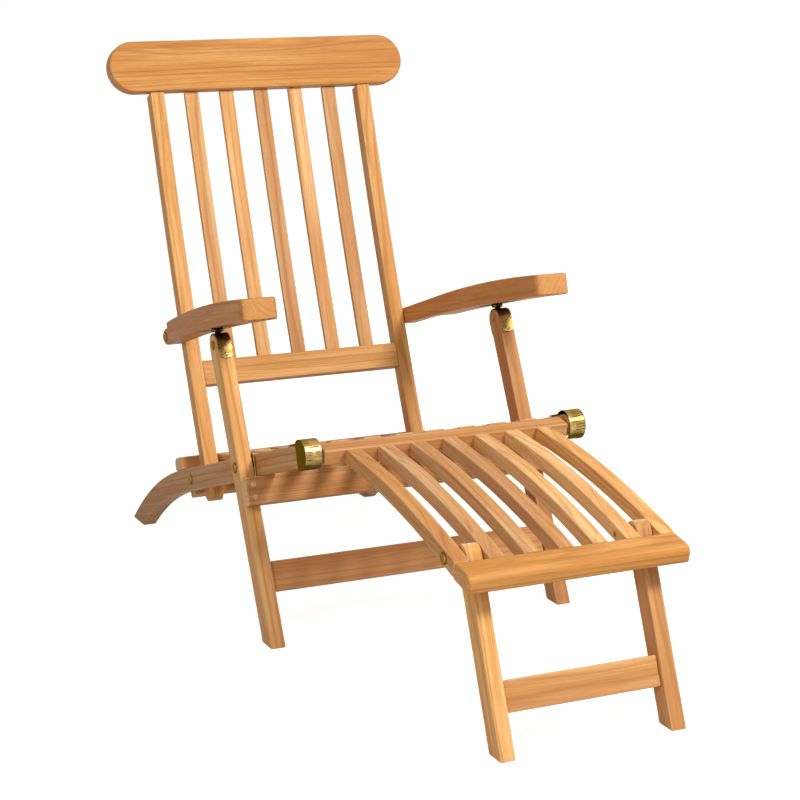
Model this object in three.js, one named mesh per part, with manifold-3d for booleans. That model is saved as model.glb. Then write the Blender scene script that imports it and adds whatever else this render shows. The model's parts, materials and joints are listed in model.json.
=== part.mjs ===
import * as THREE from 'three';
import { mergeVertices } from 'three/addons/utils/BufferGeometryUtils.js';
import Module from 'manifold-3d';

const wasm = await Module();
wasm.setup();

// A folding steamer deck chair in teak with brass fittings.
// Millimetres and degrees. y runs to the rear, z up, x across; the sitter's left is +x.

// Fits and fineness
const fitGap = 0.3;
const overrun = 8;
const edgeSteps = 10;
const boltSteps = 16;

// Seat frame: two side rails that bend down into the rear legs
const hingeHeight = 347.6;
const railSlope = 18;
const hingeToBack = 575;
const hingeToPost = 234;
const railSpan = 455;
const railWidth = 27;
const railFrontDepth = 36;
const railRearDepth = 42;
const bendFromBack = 60;
const bendRadius = 820;

// Seat slats and the bars that carry them
const seatEdgeGap = 10.5;
const seatSlatWidth = 30;
const seatSlatThickness = 11;
const seatDish = 10;
const seatFromHinge = 22;
const seatRailThickness = 22;
const seatRailDepth = 24;
const battenWidth = 30;
const battenDepth = 19;
const battenPlaceShare = 0.47;
const crossbarFromBack = 44.5;
const crossbarDepth = 38;
const crossbarHeight = 24;
const crossbarRound = 12;
const rearStretcherFromBack = 64.4;
const rearStretcherDrop = 26.3;
const rearStretcherTilt = 14;
const rearStretcherThickness = 28;
const rearStretcherHeight = 46;

// Backrest
const backLean = 25;
const backCurveRadius = 6500;
const stileGap = 0.5;
const stileWidth = 27.5;
const stileDepth = 27;
const stileTail = 45;
const backLength = 738;
const backToArm = 273;
const lowerRailFromPivot = 172;
const lowerRailHeight = 47;
const lowerRailThickness = 25;
const backSlatSpacing = 71;
const backSlatWidth = 28;
const backSlatThickness = 10;
const headBoardLength = 604;
const headBoardHeight = 98;
const headBoardThickness = 28;
const headBoardTurn = 7.5;
const headBoardOverhang = 4;

// Arms
const armLength = 552;
const armInnerGap = 1;
const armInnerDrift = 12;
const knuckleWidth = 32;
const knuckleLength = 110;
const knuckleRadius = 15.5;
const knuckleRise = 5.8;
const knuckleLift = 4;
const armWidthRear = 64;
const armWidthMiddle = 68;
const armWidthFront = 65;
const armFrontTop = 22;
const armFrontBottom = 15.5;
const armTopBulge = 7.8;
const armBottomBulge = 3.5;
const armCornerRadius = 14;
const stepRadius = 12;

// Brass rack under each arm, and the pin on the post that it rests on
const rackBehindPin = 86;
const rackLength = 190;
const rackWidth = 24;
const rackThickness = 2;
const rackNotches = 8;
const rackNotchWidth = 8;
const rackNotchDepth = 1;
const pinRadius = 4;
const pinLength = 20;
const pinRise = 245.3;
const pinOffset = 2.8;
const pinUnderArm = 12.9;
const pinClearance = 0.5;

// Leg frame: two posts with an apron and a stretcher
const postGap = 4;
const postWidth = 27;
const postDepth = 37;
const postLean = 26.6;
const postAboveBolt = 217.6;
const apronThickness = 20;
const apronHeight = 48;
const lowerStretcherThickness = 22;
const lowerStretcherHeight = 51;
const lowerStretcherDrop = 168;
const wearPlateSize = 42;
const saddleThickness = 2;
const saddleWidth = 26;
const saddleTongue = 29;
const saddleTongueRound = 9;
const lugWidth = 7;
const lugDepth = 12;

// Footrest
const footSlope = 10.75;
const footRailGap = 5;
const footRailBehind = 8.5;
const footRailAhead = 24;
const footRailTop = 13.3;
const footRailBottom = 11.7;
const footSlatWidth = 26;
const footSlatDepth = 25;
const footSlatArch = 12;
const footSlatDrop = 0.3;
const footLegFromHinge = 394.4;
const footLegRise = 3;
const frontBoardDepth = 52;
const frontBoardThickness = 28;
const frontBoardRound = 13;

// Footrest legs
const footLegLean = 22.2;
const footLegGap = 3;
const footLegDepth = 35;
const footStretcherDrop = 189;
const footStretcherHeight = 48;
const footStretcherThickness = 22;

// Bolts, pins and hinge caps
const boltRadius = 4;
const boltHeadRadius = 8;
const boltHeadHeight = 3;
const crossBoltRadius = 3;
const crossBoltHeadRadius = 6.5;
const crossBoltHeadHeight = 2.2;
const hingePinRadius = 3.5;
const hingePinDepth = 30;
const capRadius = 25.5;
const capWall = 2;
const capTail = 46;
const capRear = 14;
const capLip = 0.5;

// Where pieces stand across the chair
const railInner = railSpan / 2;
const railOuter = railInner + railWidth;
const postInner = railOuter + postGap;
const postOuter = postInner + postWidth;
const stileOuter = railInner - stileGap;
const stileInner = stileOuter - stileWidth;
const slatSpacing = (stileInner - seatEdgeGap - seatSlatWidth / 2) / 3;
const armInner = stileOuter + armInnerGap;
const knuckleOuter = armInner + knuckleWidth;
const footOuterSlat = 3 * slatSpacing;
const footOuterFace = footOuterSlat + footSlatWidth / 2;
const footLegInner = 2 * slatSpacing + footSlatWidth / 2 + footLegGap;
const footLegOuter = footOuterSlat - footSlatWidth / 2 - footLegGap;
const footRailHalf = railInner - footRailGap;

const sides = [['left', 1], ['right', -1]];
const { degToRad, radToDeg } = THREE.MathUtils;

// Materials
const teak = (colour) => new THREE.MeshStandardMaterial({ color: colour, roughness: 0.55, metalness: 0 });
const brass = () => new THREE.MeshStandardMaterial({ color: '#c9a24a', roughness: 0.3, metalness: 1 });
const frameTeak = () => teak('#b9743f');
const slatTeak = () => teak('#c98850');
const armTeak = () => teak('#c27f47');

// Shape helpers

function addPiece(group, name, geometry, material) {
  const piece = new THREE.Mesh(geometry, material);
  piece.name = name;
  group.add(piece);
  return piece;
}

// Where a turned point (y, z) lands, as [y, z]
function turned(y, z, angle) {
  const cosine = Math.cos(degToRad(angle));
  const sine = Math.sin(degToRad(angle));
  return [y * cosine - z * sine, y * sine + z * cosine];
}

// A side view outline made solid across the chair, from one x to another
function acrossChair(outline, oneX, otherX) {
  const depth = Math.abs(otherX - oneX);
  const geometry = new THREE.ExtrudeGeometry(outline, {
    depth,
    bevelEnabled: false,
    curveSegments: edgeSteps,
  });
  const yAxis = new THREE.Vector3(0, 1, 0);
  const zAxis = new THREE.Vector3(0, 0, 1);
  const xAxis = new THREE.Vector3(1, 0, 0);
  geometry.applyMatrix4(new THREE.Matrix4().makeBasis(yAxis, zAxis, xAxis));
  geometry.translate(Math.min(oneX, otherX), 0, 0);
  return geometry;
}

// A front view outline (x, z) made solid from a rear y towards the front
function towardsFront(outline, rearY, depth) {
  const geometry = new THREE.ExtrudeGeometry(outline, {
    depth,
    bevelEnabled: false,
    curveSegments: edgeSteps,
  });
  geometry.rotateX(Math.PI / 2);
  geometry.translate(0, rearY, 0);
  return geometry;
}

function circlePoints(y, z, radius) {
  const points = [];
  for (let i = 0; i < boltSteps; i += 1) {
    const angle = 2 * Math.PI * i / boltSteps;
    points.push(new THREE.Vector2(y + radius * Math.cos(angle), z + radius * Math.sin(angle)));
  }
  return points;
}

function bore(outline, y, z, radius) {
  outline.holes.push(new THREE.Path(circlePoints(y, z, radius)));
}

function barOutline(fromY, toY, fromZ, toZ) {
  const outline = new THREE.Shape();
  outline.moveTo(fromY, fromZ);
  outline.lineTo(toY, fromZ);
  outline.lineTo(toY, toZ);
  outline.lineTo(fromY, toZ);
  return outline;
}

// A leg seen from the side: round top, straight sides, foot cut level with the ground
function legOutline(halfDepth, roundHeight, lean, pivotHeight) {
  const footAt = (y) => (y * Math.sin(degToRad(lean)) - pivotHeight) / Math.cos(degToRad(lean));
  const outline = new THREE.Shape();
  outline.absarc(0, roundHeight, halfDepth, 0, Math.PI, false);
  outline.lineTo(-halfDepth, footAt(-halfDepth));
  outline.lineTo(halfDepth, footAt(halfDepth));
  return outline;
}

// A bolt or pin along x: its shank starts at one x and its head lies past the other
function boltGeometry(startX, seatX, shankRadius, headRadius, headHeight) {
  const seat = Math.abs(seatX - startX);
  const top = seat + headHeight;
  const crown = headHeight / 3;
  const profile = [
    new THREE.Vector2(0, 0),
    new THREE.Vector2(shankRadius, 0),
    new THREE.Vector2(shankRadius, seat),
    new THREE.Vector2(headRadius, seat),
    new THREE.Vector2(headRadius, top - crown),
    new THREE.Vector2(headRadius - crown, top),
    new THREE.Vector2(0, top),
  ];
  const geometry = new THREE.LatheGeometry(profile, boltSteps);
  geometry.rotateZ(seatX > startX ? -Math.PI / 2 : Math.PI / 2);
  geometry.translate(startX, 0, 0);
  return geometry;
}

// Solids that are joined or cut

function toSolid(geometry) {
  const plain = geometry.clone();
  plain.deleteAttribute('normal');
  plain.deleteAttribute('uv');
  const merged = mergeVertices(plain);
  const corners = [];
  for (let i = 0; i < merged.index.count; i += 3) {
    const [a, b, c] = [0, 1, 2].map((k) => merged.index.getX(i + k));
    if (a !== b && b !== c && c !== a) {
      corners.push(a, b, c);
    }
  }
  return new wasm.Manifold(new wasm.Mesh({
    numProp: 3,
    vertProperties: merged.attributes.position.array,
    triVerts: new Uint32Array(corners),
  }));
}

function toGeometry(solid) {
  const mesh = solid.getMesh();
  const geometry = new THREE.BufferGeometry();
  geometry.setAttribute('position', new THREE.BufferAttribute(mesh.vertProperties, 3));
  geometry.setIndex(new THREE.BufferAttribute(mesh.triVerts, 1));
  geometry.computeVertexNormals();
  return geometry;
}

// Seat frame, in the rails' own slope: y along the rails from the front hinge, z square to them

const bendStart = hingeToBack + bendFromBack;
const railHalfAt = (y) => (railFrontDepth + (railRearDepth - railFrontDepth) * y / bendStart) / 2;

function railOutline() {
  const centreHeight = hingeHeight + turned(bendStart, -bendRadius, -railSlope)[1];
  const footAngle = (radius) => degToRad(railSlope) + Math.asin(-centreHeight / radius);
  const outer = bendRadius + railRearDepth / 2;
  const inner = bendRadius - railRearDepth / 2;
  const outline = new THREE.Shape();
  outline.absarc(0, 0, railFrontDepth / 2, -Math.PI / 2, Math.PI / 2, true);
  outline.absarc(bendStart, -bendRadius, outer, Math.PI / 2, footAngle(outer), true);
  outline.absarc(bendStart, -bendRadius, inner, footAngle(inner), Math.PI / 2, false);
  bore(outline, 0, 0, hingePinRadius + fitGap);
  bore(outline, hingeToPost, 0, boltRadius + fitGap);
  bore(outline, hingeToBack, 0, boltRadius + fitGap);
  return outline;
}

const crossbarFront = hingeToBack + crossbarFromBack;
const crossbarBottom = railRearDepth / 2 + fitGap;
const seatRearTop = crossbarBottom + crossbarHeight;
const seatFrontTop = railFrontDepth / 2;
const seatRear = crossbarFront - fitGap;

// Height of the slats' top face at a share of the way from front to rear
function seatTopAt(share) {
  const chord = seatFrontTop + (seatRearTop - seatFrontTop) * share;
  return chord - 4 * seatDish * share * (1 - share);
}

function seatSlatOutline() {
  const middle = (seatFromHinge + seatRear) / 2;
  const dip = (seatFrontTop + seatRearTop) / 2 - 2 * seatDish;
  const outline = new THREE.Shape();
  outline.moveTo(seatFromHinge, seatFrontTop);
  outline.quadraticCurveTo(middle, dip, seatRear, seatRearTop);
  outline.lineTo(seatRear, seatRearTop - seatSlatThickness);
  outline.quadraticCurveTo(middle, dip - seatSlatThickness, seatFromHinge, seatFrontTop - seatSlatThickness);
  return outline;
}

function crossbarOutline() {
  const rear = crossbarFront + crossbarDepth;
  const outline = new THREE.Shape();
  outline.moveTo(crossbarFront, crossbarBottom);
  outline.lineTo(crossbarFront, seatRearTop);
  outline.absarc(rear - crossbarRound, seatRearTop - crossbarRound, crossbarRound, Math.PI / 2, 0, true);
  outline.lineTo(rear, crossbarBottom);
  return outline;
}

function rearStretcherOutline() {
  const [upY, upZ] = turned(0, rearStretcherHeight, -rearStretcherTilt);
  const [backY, backZ] = turned(rearStretcherThickness, 0, -rearStretcherTilt);
  const y = hingeToBack + rearStretcherFromBack;
  const z = -rearStretcherDrop;
  const outline = new THREE.Shape();
  outline.moveTo(y, z);
  outline.lineTo(y + backY, z + backZ);
  outline.lineTo(y + backY + upY, z + backZ + upZ);
  outline.lineTo(y + upY, z + upZ);
  return outline;
}

function wearPlateOutline() {
  const half = wearPlateSize / 2;
  const outline = new THREE.Shape();
  outline.moveTo(hingeToPost - half, -half);
  outline.lineTo(hingeToPost + half, -half);
  outline.lineTo(hingeToPost + half, half);
  outline.lineTo(hingeToPost - half, half);
  bore(outline, hingeToPost, 0, boltRadius + fitGap);
  return outline;
}

// A brass band round the rail's front end with a D-shaped cheek outside and a tail on top
function capGeometry(sign) {
  const inner = capRadius - capWall;
  const tailBottom = railHalfAt(capTail) + fitGap;
  const tailTop = tailBottom + capWall;
  const tailMeets = Math.sqrt(capRadius ** 2 - tailTop ** 2);
  const innerMeets = Math.sqrt(inner ** 2 - tailBottom ** 2);
  const band = new THREE.Shape();
  band.moveTo(capTail, tailBottom);
  band.lineTo(capTail, tailTop);
  band.absarc(0, 0, capRadius, Math.atan2(tailTop, tailMeets), -Math.PI / 2, false);
  band.absarc(0, 0, inner, -Math.PI / 2, Math.atan2(tailBottom, innerMeets), true);
  const cheek = new THREE.Shape();
  cheek.absarc(0, 0, capRadius, Math.PI / 2, -Math.PI / 2, false);
  cheek.lineTo(capRear, -capRadius);
  cheek.lineTo(capRear, tailTop);
  const cheekInner = railOuter + fitGap;
  const cheekOuter = cheekInner + capWall;
  const bandSolid = toSolid(acrossChair(band, sign * (railInner - capLip), sign * cheekOuter));
  const cheekSolid = toSolid(acrossChair(cheek, sign * cheekInner, sign * cheekOuter));
  return toGeometry(bandSolid.add(cheekSolid));
}

function makeSeatFrame() {
  const seat = new THREE.Group();
  seat.position.z = hingeHeight;
  seat.rotation.x = -degToRad(railSlope);
  const inside = railInner - fitGap;

  for (let i = -3; i <= 3; i += 1) {
    const centre = i * slatSpacing;
    const half = seatSlatWidth / 2;
    const slat = acrossChair(seatSlatOutline(), centre - half, centre + half);
    addPiece(seat, `seat_slat_${i + 4}`, slat, slatTeak());
  }

  addPiece(seat, 'rear_crossbar', acrossChair(crossbarOutline(), -railOuter, railOuter), frameTeak());
  addPiece(seat, 'rear_stretcher', acrossChair(rearStretcherOutline(), -inside, inside), frameTeak());

  const seatRailShare = seatRailThickness / (seatRear - seatFromHinge);
  const seatRailTop = seatTopAt(seatRailShare) - seatSlatThickness - fitGap;
  const seatRail = barOutline(
    seatFromHinge,
    seatFromHinge + seatRailThickness,
    seatRailTop - seatRailDepth,
    seatRailTop,
  );
  addPiece(seat, 'front_seat_rail', acrossChair(seatRail, -inside, inside), frameTeak());

  const battenY = seatFromHinge + (seatRear - seatFromHinge) * battenPlaceShare;
  const battenTop = seatTopAt(battenPlaceShare) - seatSlatThickness - 2 * fitGap;
  const batten = barOutline(
    battenY - battenWidth / 2,
    battenY + battenWidth / 2,
    battenTop - battenDepth,
    battenTop,
  );
  addPiece(seat, 'seat_batten', acrossChair(batten, -inside, inside), frameTeak());

  for (const [side, sign] of sides) {
    const rail = acrossChair(railOutline(), sign * railInner, sign * railOuter);
    addPiece(seat, `side_rail_${side}`, rail, frameTeak());
    addPiece(seat, `hinge_cap_${side}`, capGeometry(sign), brass());

    const pinStart = sign * (footRailHalf - hingePinDepth);
    const pin = boltGeometry(pinStart, sign * railOuter, hingePinRadius, hingePinRadius, 0);
    addPiece(seat, `hinge_pin_${side}`, pin, brass());

    const plate = acrossChair(
      wearPlateOutline(),
      sign * (railOuter + fitGap),
      sign * (postInner - fitGap),
    );
    addPiece(seat, `wear_plate_${side}`, plate, brass());

    const bolt = boltGeometry(
      sign * railInner,
      sign * (postOuter + fitGap),
      boltRadius,
      boltHeadRadius,
      boltHeadHeight,
    );
    const legBolt = addPiece(seat, `leg_bolt_${side}`, bolt, brass());
    legBolt.position.y = hingeToPost;
  }
  return seat;
}

// Backrest, in its own lean at the pivot: z up along it, y to the rear

const backCurve = (z) => -(z ** 2) / (2 * backCurveRadius);

// Steps along a curved edge that runs parallel to the backrest's middle line
function followBack(outline, fromZ, toZ, offset) {
  for (let i = 0; i <= edgeSteps; i += 1) {
    const z = fromZ + (toZ - fromZ) * i / edgeSteps;
    outline.lineTo(backCurve(z) + offset, z);
  }
}

function stileOutline() {
  const half = stileDepth / 2;
  const outline = new THREE.Shape();
  outline.absarc(0, half - stileTail, half, Math.PI, 2 * Math.PI, false);
  followBack(outline, 0, backLength, half);
  followBack(outline, backLength, 0, -half);
  bore(outline, 0, 0, boltRadius + fitGap);
  bore(outline, backCurve(backToArm), backToArm, boltRadius + fitGap);
  return outline;
}

function backStripOutline(fromZ, toZ, front, rear) {
  const outline = new THREE.Shape();
  outline.moveTo(backCurve(fromZ) + front, fromZ);
  followBack(outline, fromZ, toZ, rear);
  followBack(outline, toZ, fromZ, front);
  return outline;
}

function headBoardOutline() {
  const radius = headBoardHeight / 2;
  const reach = headBoardLength / 2 - radius;
  const outline = new THREE.Shape();
  outline.absarc(reach, radius, radius, -Math.PI / 2, Math.PI / 2, false);
  outline.absarc(-reach, radius, radius, Math.PI / 2, 3 * Math.PI / 2, false);
  return outline;
}

function makeBack() {
  const back = new THREE.Group();
  back.rotation.x = -degToRad(backLean);
  const front = -stileDepth / 2;

  for (const [side, sign] of sides) {
    const stile = acrossChair(stileOutline(), sign * stileInner, sign * stileOuter);
    addPiece(back, `back_stile_${side}`, stile, frameTeak());
  }

  const inside = stileInner - fitGap;
  const lowerTop = lowerRailFromPivot + lowerRailHeight;
  const lowerRail = backStripOutline(lowerRailFromPivot, lowerTop, front, front + lowerRailThickness);
  addPiece(back, 'back_lower_rail', acrossChair(lowerRail, -inside, inside), frameTeak());

  const slatMiddle = front + lowerRailThickness / 2;
  const slatHalf = backSlatThickness / 2;
  for (let i = -2; i <= 2; i += 1) {
    const strip = backStripOutline(
      lowerTop + fitGap,
      backLength,
      slatMiddle - slatHalf,
      slatMiddle + slatHalf,
    );
    const centre = i * backSlatSpacing;
    const slat = acrossChair(strip, centre - backSlatWidth / 2, centre + backSlatWidth / 2);
    addPiece(back, `back_slat_${i + 3}`, slat, slatTeak());
  }

  const head = new THREE.Group();
  const cornerDrop = stileDepth / 2 * Math.sin(degToRad(headBoardTurn));
  head.position.set(0, backCurve(backLength), backLength + cornerDrop + fitGap);
  head.rotation.x = degToRad(headBoardTurn);
  const rearFace = front - headBoardOverhang + headBoardThickness;
  const board = towardsFront(headBoardOutline(), rearFace, headBoardThickness);
  addPiece(head, 'head_board', board, armTeak());
  back.add(head);
  return back;
}

function addPivotBolts(group, name, innerX, outerX) {
  for (const [side, sign] of sides) {
    const bolt = boltGeometry(
      sign * innerX,
      sign * (outerX + fitGap),
      boltRadius,
      boltHeadRadius,
      boltHeadHeight,
    );
    addPiece(group, `${name}_${side}`, bolt, brass());
  }
}

// Arms, in their own slope: the bolt at the origin, -y forwards

const [pinY, pinZ] = turned(pinOffset, pinRise, -postLean);
const [postY, postZ] = turned(hingeToPost, 0, -railSlope);
const [pivotY, pivotZ] = turned(hingeToBack, 0, -railSlope);
const [armFromPivotY, armFromPivotZ] = turned(backCurve(backToArm), backToArm, -backLean);
const armPlace = [pivotY + armFromPivotY, hingeHeight + pivotZ + armFromPivotZ];

// The rest pin as each arm sees it; the arm's slope brings its underside down to the pin
const pinAheadOfArm = armPlace[0] - postY - pinY;
const pinOverArm = hingeHeight + postZ + pinZ - armPlace[1];
const pinReach = Math.hypot(pinAheadOfArm, pinOverArm);
const armSlope = radToDeg(Math.atan2(pinOverArm, pinAheadOfArm) + Math.asin(pinUnderArm / pinReach));
const pinAlongArm = Math.sqrt(pinReach ** 2 - pinUnderArm ** 2);
const rackStart = pinAlongArm - rackBehindPin;
const rackBottom = pinRadius + pinClearance - pinUnderArm;

function armSideOutline() {
  const bodyTop = knuckleRadius + knuckleRise;
  const bodyBottom = knuckleLift - knuckleRadius;
  const middle = -(knuckleLength + armLength) / 2;
  const topMiddle = (bodyTop + armFrontTop) / 2 + 2 * armTopBulge;
  const bottomMiddle = (bodyBottom - armFrontBottom) / 2 + 2 * armBottomBulge;
  const outline = new THREE.Shape();
  outline.absarc(0, 0, knuckleRadius, -Math.PI / 2, Math.PI / 2, false);
  outline.lineTo(-knuckleLength, bodyTop);
  outline.quadraticCurveTo(middle, topMiddle, -armLength, armFrontTop);
  outline.lineTo(-armLength, -armFrontBottom);
  outline.quadraticCurveTo(middle, bottomMiddle, -knuckleLength, bodyBottom);
  bore(outline, 0, 0, boltRadius + fitGap);
  return outline;
}

function armPlanOutline(sign) {
  const innerFront = armInner + armInnerDrift;
  const outerFront = innerFront + armWidthFront;
  const outerMiddle = armInner + armWidthMiddle + armInnerDrift / 2;
  const outerRear = armInner + armWidthRear;
  const middle = (armLength + knuckleLength) / 2;
  const outline = new THREE.Shape();
  outline.moveTo(sign * armInner, knuckleRadius);
  outline.lineTo(sign * knuckleOuter, knuckleRadius);
  outline.lineTo(sign * knuckleOuter, stepRadius - knuckleLength);
  outline.quadraticCurveTo(
    sign * knuckleOuter,
    -knuckleLength,
    sign * (knuckleOuter + stepRadius),
    -knuckleLength,
  );
  outline.lineTo(sign * outerRear, -knuckleLength);
  outline.quadraticCurveTo(
    sign * (2 * outerMiddle - (outerRear + outerFront) / 2),
    -middle,
    sign * outerFront,
    armCornerRadius - armLength,
  );
  outline.quadraticCurveTo(
    sign * outerFront,
    -armLength,
    sign * (outerFront - armCornerRadius),
    -armLength,
  );
  outline.lineTo(sign * (innerFront + armCornerRadius), -armLength);
  outline.quadraticCurveTo(
    sign * innerFront,
    -armLength,
    sign * innerFront,
    armCornerRadius - armLength,
  );
  return outline;
}

function armGeometry(sign) {
  const side = toSolid(acrossChair(armSideOutline(), sign * stileInner, sign * (postOuter + armWidthFront)));
  const height = armFrontTop + armFrontBottom + 2 * armTopBulge + 2 * overrun;
  const plan = new THREE.ExtrudeGeometry(armPlanOutline(sign), {
    depth: height,
    bevelEnabled: false,
    curveSegments: edgeSteps,
  });
  plan.translate(0, 0, -armFrontBottom - overrun);
  const centre = (postInner + postOuter) / 2;
  const half = rackWidth / 2 + fitGap;
  const pocket = barOutline(
    -(rackStart + rackLength) - fitGap,
    -rackStart + fitGap,
    -armFrontBottom - overrun,
    rackBottom + rackThickness + fitGap,
  );
  const pocketSolid = toSolid(acrossChair(pocket, sign * (centre - half), sign * (centre + half)));
  return toGeometry(side.intersect(toSolid(plan)).subtract(pocketSolid));
}

// A brass plate whose lower face has shallow cross notches
function rackOutline() {
  const top = rackBottom + rackThickness;
  const pitch = rackLength / rackNotches;
  const outline = new THREE.Shape();
  outline.moveTo(-rackStart, top);
  outline.lineTo(-rackStart - rackLength, top);
  outline.lineTo(-rackStart - rackLength, rackBottom);
  for (let i = rackNotches - 1; i >= 0; i -= 1) {
    const middle = -rackStart - (i + 0.5) * pitch;
    outline.lineTo(middle - rackNotchWidth / 2, rackBottom);
    outline.lineTo(middle, rackBottom + rackNotchDepth);
    outline.lineTo(middle + rackNotchWidth / 2, rackBottom);
  }
  outline.lineTo(-rackStart, rackBottom);
  return outline;
}

function makeArms() {
  const arms = new THREE.Group();
  arms.rotation.x = -degToRad(armSlope);
  const centre = (postInner + postOuter) / 2;
  const half = rackWidth / 2;
  for (const [side, sign] of sides) {
    addPiece(arms, `arm_${side}`, armGeometry(sign), armTeak());
    const rack = acrossChair(rackOutline(), sign * (centre - half), sign * (centre + half));
    addPiece(arms, `arm_rack_${side}`, rack, brass());
  }
  addPivotBolts(arms, 'arm_bolt', stileInner, knuckleOuter);
  return arms;
}

// Leg frame, along the posts: the bolt at the origin, z up the posts

// A strap over the post's round top with a tongue down each face, a lug and the rest pin
function saddleGeometry(sign) {
  const centre = sign * (postInner + postOuter) / 2;
  const inner = postDepth / 2 + fitGap;
  const outer = inner + saddleThickness;
  const strap = new THREE.Shape();
  strap.absarc(0, postAboveBolt, outer, 0, Math.PI, false);
  strap.lineTo(-outer, postAboveBolt - saddleTongue);
  strap.lineTo(-inner, postAboveBolt - saddleTongue);
  strap.absarc(0, postAboveBolt, inner, Math.PI, 0, true);
  strap.lineTo(inner, postAboveBolt - saddleTongue);
  strap.lineTo(outer, postAboveBolt - saddleTongue);
  const halfWidth = saddleWidth / 2;
  const strapSolid = toSolid(acrossChair(strap, centre - halfWidth, centre + halfWidth));

  const face = new THREE.Shape();
  const bottom = postAboveBolt - saddleTongue;
  face.moveTo(centre - halfWidth, postAboveBolt + outer + overrun);
  face.lineTo(centre - halfWidth, bottom + saddleTongueRound);
  face.quadraticCurveTo(centre - halfWidth, bottom, centre, bottom);
  face.quadraticCurveTo(centre + halfWidth, bottom, centre + halfWidth, bottom + saddleTongueRound);
  face.lineTo(centre + halfWidth, postAboveBolt + outer + overrun);
  const faceSolid = toSolid(towardsFront(face, outer + overrun, 2 * (outer + overrun)));

  const lugFoot = postAboveBolt + inner + saddleThickness / 2;
  const lug = barOutline(pinOffset - lugDepth / 2, pinOffset + lugDepth / 2, lugFoot, pinRise);
  const lugSolid = toSolid(acrossChair(lug, centre - lugWidth / 2, centre + lugWidth / 2));
  const pin = new THREE.Shape(circlePoints(pinOffset, pinRise, pinRadius));
  const pinSolid = toSolid(acrossChair(pin, centre - pinLength / 2, centre + pinLength / 2));
  return toGeometry(strapSolid.intersect(faceSolid).add(lugSolid).add(pinSolid));
}

function makeLegFrame() {
  const legs = new THREE.Group();
  legs.rotation.x = -degToRad(postLean);
  const half = postDepth / 2;
  const boltHeight = hingeHeight + postZ;

  for (const [side, sign] of sides) {
    const outline = legOutline(half, postAboveBolt, postLean, boltHeight);
    bore(outline, 0, 0, boltRadius + fitGap);
    bore(outline, 0, postAboveBolt, crossBoltRadius + fitGap);
    addPiece(legs, `post_${side}`, acrossChair(outline, sign * postInner, sign * postOuter), frameTeak());
    addPiece(legs, `saddle_${side}`, saddleGeometry(sign), brass());

    const bolt = boltGeometry(
      sign * (postInner - fitGap),
      sign * (postOuter + fitGap),
      crossBoltRadius,
      crossBoltHeadRadius,
      crossBoltHeadHeight,
    );
    const crossBolt = addPiece(legs, `saddle_bolt_${side}`, bolt, brass());
    crossBolt.position.z = postAboveBolt;
  }

  // The apron's upper front edge comes up under the rails and stops the frame there
  const apronFront = -half - fitGap - apronThickness;
  const turn = postLean - railSlope;
  const railBottom = railHalfAt(hingeToPost) + fitGap;
  const apronTop = (apronFront * Math.sin(degToRad(turn)) - railBottom) / Math.cos(degToRad(turn));
  const apron = barOutline(apronFront, -half - fitGap, apronTop - apronHeight, apronTop);
  addPiece(legs, 'front_apron', acrossChair(apron, -postOuter, postOuter), frameTeak());

  const stretcherHalf = lowerStretcherThickness / 2;
  const stretcher = barOutline(
    -stretcherHalf,
    stretcherHalf,
    -lowerStretcherDrop - lowerStretcherHeight,
    -lowerStretcherDrop,
  );
  const inside = postInner - fitGap;
  addPiece(legs, 'lower_stretcher', acrossChair(stretcher, -inside, inside), frameTeak());
  return legs;
}

// Footrest, in its own slope: the hinge at the origin, -y forwards

const footSlatRear = -footRailAhead - fitGap;
const footSlatTop = footRailTop - footSlatDrop;
const boardBottomAtLeg = footLegRise - (footSlatTop - frontBoardThickness);
const legTurn = degToRad(footLegLean + footSlope);
const boardFromLeg = (footLegDepth / 2 + fitGap + boardBottomAtLeg * Math.sin(legTurn)) / Math.cos(legTurn);
const frontBoardRear = -footLegFromHinge - boardFromLeg;
const footSlatFront = frontBoardRear + fitGap;

function footSlatOutline(bored) {
  const middle = (footSlatRear + footSlatFront) / 2;
  const bottom = footSlatTop - footSlatDepth;
  const outline = new THREE.Shape();
  outline.moveTo(footSlatRear, footSlatTop);
  outline.quadraticCurveTo(middle, footSlatTop + 2 * footSlatArch, footSlatFront, footSlatTop);
  outline.lineTo(footSlatFront, bottom);
  outline.quadraticCurveTo(middle, bottom + 2 * footSlatArch, footSlatRear, bottom);
  if (bored) {
    bore(outline, -footLegFromHinge, footLegRise, boltRadius + fitGap);
  }
  return outline;
}

function footRailGeometry() {
  const rail = barOutline(-footRailAhead, footRailBehind, -footRailBottom, footRailTop);
  const hole = new THREE.Shape(circlePoints(0, 0, hingePinRadius + fitGap));
  let solid = toSolid(acrossChair(rail, -footRailHalf, footRailHalf));
  for (const sign of [1, -1]) {
    const depth = footRailHalf - hingePinDepth - fitGap;
    const end = footRailHalf + overrun;
    solid = solid.subtract(toSolid(acrossChair(hole, sign * depth, sign * end)));
  }
  return toGeometry(solid);
}

function frontBoardOutline() {
  const front = frontBoardRear - frontBoardDepth;
  const bottom = footSlatTop - frontBoardThickness;
  const outline = new THREE.Shape();
  outline.moveTo(frontBoardRear, bottom);
  outline.lineTo(frontBoardRear, footSlatTop);
  outline.absarc(
    front + frontBoardRound,
    footSlatTop - frontBoardRound,
    frontBoardRound,
    Math.PI / 2,
    Math.PI,
    false,
  );
  outline.lineTo(front, bottom);
  return outline;
}

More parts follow.
